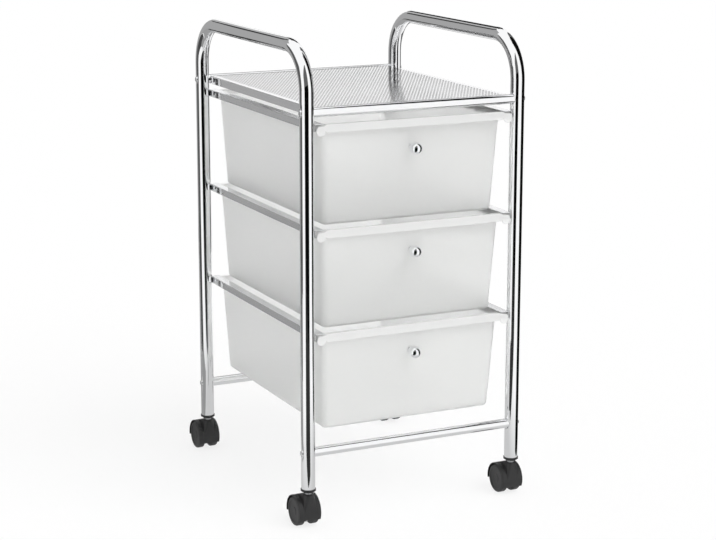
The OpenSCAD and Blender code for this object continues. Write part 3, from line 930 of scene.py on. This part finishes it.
# %% The round shell of a hood
hood_r = 22.6 * MM
hood_wall = 1.4 * MM
pocket_r = hood_r - hood_wall
hood_edge = 0.7 * MM
hood_front, hood_rear = math.radians(24), math.radians(12)
web_half = 5.5 * MM
web_fillet = 1.2 * MM
web_inner_r = 2 * MM
web_hub_r = 6.5 * MM


def hood_shell(mesh, half):
    """The T-shaped section, spun about the axle from the rear end over the top to the front end."""
    section = [(half - hood_edge, hood_r), (half, hood_r - hood_edge), (half, pocket_r),
               (web_half + web_fillet, pocket_r), (web_half, pocket_r - web_fillet),
               (web_half, web_inner_r)]
    section += [(-x, r) for x, r in reversed(section)]
    face = mesh.faces.new([mesh.verts.new((x, r, 0)) for x, r in section])
    bmesh.ops.rotate(mesh, verts=face.verts, cent=(0, 0, 0),
                     matrix=Matrix.Rotation(-hood_rear, 3, "X"))
    bmesh.ops.spin(mesh, geom=[face, *face.edges, *face.verts], cent=(0, 0, 0), axis=(1, 0, 0),
                   angle=math.pi + hood_front + hood_rear, steps=44)
    bmesh.ops.create_cone(mesh, cap_ends=True, segments=32, radius1=web_hub_r, radius2=web_hub_r,
                          depth=2 * web_half, matrix=OUTWARDS["right"])


print(f"hoods {2 * hood_r / MM:.1f} mm across")

# %% [markdown]
# The second part is the saddle, which joins the boss on the stem to the round shell. Its sides run
# straight from one to the other, as a skin stretched over both would, and that is what the convex
# hull of their outlines gives.

# %% The saddle of a hood
trail = 15 * MM
boss_r = 8 * MM
boss_rim = 1.6 * MM
boss_edge = 0.6 * MM
saddle_half = 9 * MM
under_hood = 0.1 * MM


def saddle(mesh, boss_top):
    """The boss round the stem, which runs smoothly into the round hood: a hull of both outlines."""
    rims = []
    for z, inset in ((boss_top, boss_edge), (boss_top - boss_rim, 0)):
        radius = boss_r - inset
        rims += bmesh.ops.create_circle(mesh, segments=40, radius=radius,
                                        matrix=Matrix.Translation((0, -trail, z)))["verts"]
    for x in (-saddle_half, saddle_half):
        ring = Matrix.Translation((x, 0, 0)) @ OUTWARDS["right"]
        rims += bmesh.ops.create_circle(mesh, segments=72, radius=hood_r - under_hood,
                                        matrix=ring)["verts"]
    hull = bmesh.ops.convex_hull(mesh, input=rims)
    spare = hull["geom_interior"] + hull["geom_unused"]
    inner = {g for g in spare if isinstance(g, bmesh.types.BMVert)}
    bmesh.ops.delete(mesh, geom=list(inner), context="VERTS")
    loose = [e for e in mesh.edges if not e.link_faces]
    bmesh.ops.delete(mesh, geom=loose, context="EDGES")


print(f"stems stand {trail / MM:.0f} mm in front of the axles")

# %% [markdown]
# That hull is solid, so two shapes are cut from it: room for the wheels, and everything below the
# hood's ends. Each is a plain closed form.

# %% Room in the saddle
end_drop = 4 * MM


def wheel_room(axle, half):
    """Room for both wheels."""
    mesh = bmesh.new()
    for x in (web_half + half, -web_half - half):
        place = Matrix.Translation(axle + Vector((x, 0, 0))) @ OUTWARDS["right"]
        bmesh.ops.create_cone(mesh, cap_ends=True, segments=64, radius1=pocket_r, radius2=pocket_r,
                              depth=2 * half, matrix=place)
    return mesh


def room_below(axle, half):
    """Everything below the hood's ends."""
    mesh = bmesh.new()
    middle = axle + Vector((0, 0, -half - end_drop))
    block(mesh, middle, (3 * half, 4 * hood_r, 2 * half))
    return mesh


print(f"room of {2 * pocket_r / MM:.1f} mm for wheels of {2 * wheel_r / MM:.0f} mm")

# %% [markdown]
# Shell and saddle are closed shapes that overlap inside the plastic, where nothing shows. So they are
# joined as they are, after the saddle has been cut.

# %% Hoods and wheels on their casters
HOOD_SHARP_ANGLE = math.radians(28)


def hood(end, side):
    """The saddle has room cut for the wheels, and the shell is added to it."""
    node = f"{end}_{side}_hood"
    low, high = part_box(node)
    axle = caster_axle(end, side)
    half = (high.x - low.x) / 2
    mesh = bmesh.new()
    saddle(mesh, high.z - axle.z)
    bmesh.ops.translate(mesh, vec=axle, verts=mesh.verts)
    piece = finish_piece(mesh, f"{end}_{side}_caster_hood", node, hood_plastic)
    cut_away(piece, room_below(axle, half))
    cut_away(piece, wheel_room(axle, half))
    whole = bmesh.new()
    hood_shell(whole, half)
    bmesh.ops.translate(whole, vec=axle, verts=whole.verts)
    bmesh.ops.recalc_face_normals(whole, faces=whole.faces)
    whole.from_mesh(piece.data)
    whole.to_mesh(piece.data)
    whole.free()
    for face in piece.data.polygons:
        face.use_smooth = True
    piece.data.set_sharp_from_angle(angle=HOOD_SHARP_ANGLE)
    return even_shading(piece)


for end, side in CORNERS:
    cover = hood(end, side)
    wheels = [wheel(end, side, place) for place in ("outer", "inner")]
    print(cover.name, len(cover.data.polygons), "faces,", len(wheels), "wheels")

# %% [markdown]
# ## Solids that stay
# Stems, axles, spring rings, plugs, sockets and the knobs' inner screws are plain turned parts whose
# solids already have the right shape, so they only get a finish.

# %% Finish the solids that stay
kept = {
    "crossbar_plugs": zinc_steel,
    "stem_grip_rings": zinc_steel,
    **{f"knob_screw_{level}": zinc_steel for level in LEVELS},
    **{f"{end}_{side}_stem": zinc_steel for end, side in CORNERS},
    **{f"{end}_{side}_axle": zinc_steel for end, side in CORNERS},
    **{f"{end}_{side}_socket": black_plastic for end, side in CORNERS},
}
for name, material in kept.items():
    nodes[name].data.materials.clear()
    nodes[name].data.materials.append(material)
print("finished solids:", len(kept))

# %% [markdown]
# ## The white studio
# The cart stands on a white floor in white surroundings. The floor shows its lit white mixed with
# plain white, so that the object's soft shadow stays and the rest is clean. Light Path keeps the
# surroundings white for the camera and in metal and plastic. As a light they are a weaker fill, and
# the lamp in the next cell does the rest.


# %% Floor and surroundings
def stage_piece(mesh, name, build):
    """Makes a stage object whose material is built by a function of its node tree."""
    data = bpy.data.meshes.new(name)
    mesh.to_mesh(data)
    mesh.free()
    piece = bpy.data.objects.new(name, data)
    bpy.context.scene.collection.objects.link(piece)
    paint = bpy.data.materials.new(name)
    paint.use_nodes = True
    paint.node_tree.nodes.clear()
    tree = Value(paint.node_tree)
    tree.node("OutputMaterial", {}, {"Surface": build(tree)})
    data.materials.append(paint)
    return piece


def seen_directly(tree):
    """1 for camera, mirror and see-through rays, and 0 for light that bounces or is gathered."""
    outputs = tree.node("LightPath").socket.node.outputs
    kinds = ("Is Camera Ray", "Is Glossy Ray", "Is Transmission Ray")
    camera_ray, glossy_ray, clear_ray = [Value(tree.tree, outputs[kind]) for kind in kinds]
    return camera_ray.most(glossy_ray).most(clear_ray)


floor_half = 20.0
plain_white = 0.8
soft_fill = 0.62


def floor_surface(tree):
    lit = tree.node("BsdfDiffuse", {}, {"Color": (0.98, 0.98, 0.98, 1)})
    glow = tree.node("Emission", {}, {"Color": (1, 1, 1, 1), "Strength": 1.0})
    return tree.node("MixShader", {}, {0: seen_directly(tree) * plain_white, 1: lit, 2: glow})


floor_mesh = bmesh.new()
bmesh.ops.create_grid(floor_mesh, x_segments=1, y_segments=1, size=floor_half)
stage_piece(floor_mesh, "floor", floor_surface)

world = bpy.data.worlds.new("white_studio")
world.use_nodes = True
world.node_tree.nodes.clear()
tree = Value(world.node_tree)
level = seen_directly(tree) * (1 - soft_fill) + soft_fill
sky = tree.node("Background", {}, {"Color": (1, 1, 1, 1), "Strength": level})
tree.node("OutputWorld", {}, {"Surface": sky})
bpy.context.scene.world = world
print(f"floor {2 * floor_half:.0f} m wide, fill {soft_fill}")

# %% [markdown]
# ## The lamp
# One very wide sun stands for the big soft box above the camera's right. Being far away, it lights the
# whole floor alike, and with the surroundings' fill it adds up to plain white there. Mirrors don't
# see the lamp itself: their white comes from the surroundings.

# %% Soft sun
sun_from = Vector((0.35, -0.75, 0.9)).normalized()
sun_width = math.radians(50)
lit_share = 0.40

sun_data = bpy.data.lights.new("soft_sun", "SUN")
sun_data.energy = lit_share * math.pi / sun_from.z
sun_data.angle = sun_width
sun = bpy.data.objects.new("soft_sun", sun_data)
sun.rotation_euler = sun_from.to_track_quat("Z", "Y").to_euler()
sun.visible_glossy = False
bpy.context.scene.collection.objects.link(sun)
print(f"sun strength {sun_data.energy:.2f}")

# %% [markdown]
# ## Cards round the chrome
# Chrome photographed in a white box would look like paper, so a studio stands dark cards round it. They
# show only as the dark lines along the tubes, so here they are seen by mirror rays alone. Each card is
# a flat panel between two points of the floor plan, from a low to a high edge. Some have a foot: dark
# cloth on the floor that carries their line further down the posts, where mirror rays meet the floor.
# The grey one behind the cart is no cloth but painted shade: the floor darkened in the cart's shadow.

# %% Panels and their feet
FLOOR = 1 * MM
panels = [
    ("front_left_panel", (-0.02, -1.05), (-2.5, -1.85), (FLOOR, 0.80), 0.002),
    ("front_left_top", (-0.02, -1.05), (-2.5, -1.85), (0.80, 2.0), 0.12),
    ("near_right_panel", (0.90, -0.95), (0.30, -0.34), (FLOOR, 2.2), 0.004),
    ("right_panel", (0.30, -0.34), (0.37, -0.06), (FLOOR, 1.6), 0.004),
    ("far_right_panel", (0.75, 0.15), (1.1, 0.75), (FLOOR, 2.6), 0.12),
    ("rear_right_panel", (1.1, 0.75), (0.37, 1.98), (FLOOR, 0.62), 0.20),
    ("left_panel", (-2.0, 0.15), (-1.35, 1.75), (FLOOR, 1.35), 0.10),
    ("rear_panel", (-1.35, 1.75), (0.37, 1.98), (FLOOR, 1.35), 0.38),
    ("rear_top_left", (-1.35, 1.75), (-0.50, 1.864), (1.35, 2.4), 0.36),
    ("rear_top_line", (-0.50, 1.864), (-0.12, 1.914), (1.35, 2.4), 0.05),
    ("rear_top_middle", (-0.12, 1.914), (0.37, 1.98), (1.35, 2.4), 0.50),
    ("rear_top_right", (0.37, 1.98), (1.8, 2.17), (1.35, 2.8), 0.02),
]
feet = [
    ("front_left_foot", [(-0.11, -0.42), (-0.225, -0.352), (-0.45, -0.41), (-2.5, -1.85),
                         (-0.02, -1.05), (-0.04, -0.85)], 0.03),
    ("near_left_foot", [(-0.45, -0.15), (-0.30, 0.15), (-0.62, 0.52), (-0.80, 0.05)], 0.30),
    ("left_foot", [(-0.80, 0.05), (-0.62, 0.52), (-1.35, 1.75), (-2.0, 0.15)], 0.06),
    # The grey sheet behind the cart is painted shade: the floor there, darker in the cart's shadow and
    # further from the light.
    ("rear_foot", [(-0.32, 0.15), (0.3, 0.4), (0.37, 1.98), (-1.35, 1.75)], 0.34),
    ("rear_strip", [(-0.6, 1.45), (0.37, 1.45), (0.37, 1.9), (-0.6, 1.75)], 0.03),
]
print("darkest card:", min(shade for *_, shade in panels), "of white")

# %% [markdown]
# Panels are pulled up from the line between their two points. Feet lie a little above each other, so
# that the later one covers the earlier. Round the cart the mirrors also see a floor of light grey.

# %% Set the cards up
shaded_r = 1.1


def floor_shade(tree):
    """The floor as the chrome saw it: light grey near the cart and white further out."""
    place = tree.node("TexCoord", output="Object")
    distance = tree.node("VectorMath", {"operation": "LENGTH"}, {0: place}, output="Value")
    shade = tree.node("MapRange", {}, {"Value": distance, "From Min": 0.30, "From Max": 0.75,
                                       "To Min": 0.60, "To Max": 1.0})
    return tree.node("Emission", {}, {"Color": (1, 1, 1, 1), "Strength": shade})


def mirror_only(mesh, name, build):
    """A stage object that only mirrors see."""
    piece = stage_piece(mesh, name, build)
    piece.visible_camera = piece.visible_diffuse = piece.visible_shadow = False
    piece.visible_transmission = piece.visible_volume_scatter = False


def plain(shade):
    return lambda tree: tree.node("Emission", {}, {"Color": (shade,) * 3 + (1,)})


mesh = bmesh.new()
bmesh.ops.create_circle(mesh, cap_ends=True, segments=64, radius=shaded_r,
                        matrix=Matrix.Translation((0, 0, FLOOR)))
mirror_only(mesh, "shaded_floor", floor_shade)
for name, start, end, (low, high), shade in panels:
    mesh = bmesh.new()
    foot = mesh.edges.new([mesh.verts.new((*start, low)), mesh.verts.new((*end, low))])
    top = bmesh.ops.extrude_edge_only(mesh, edges=[foot])
    bmesh.ops.translate(mesh, verts=verts_of(top), vec=(0, 0, high - low))
    mirror_only(mesh, name, plain(shade))
for layer, (name, corners, shade) in enumerate(feet):
    mesh = bmesh.new()
    height = (2 + layer / 2) * FLOOR
    mesh.faces.new([mesh.verts.new((*corner, height)) for corner in corners])
    mirror_only(mesh, name, plain(shade))
print("panels:", len(panels), "feet:", len(feet))
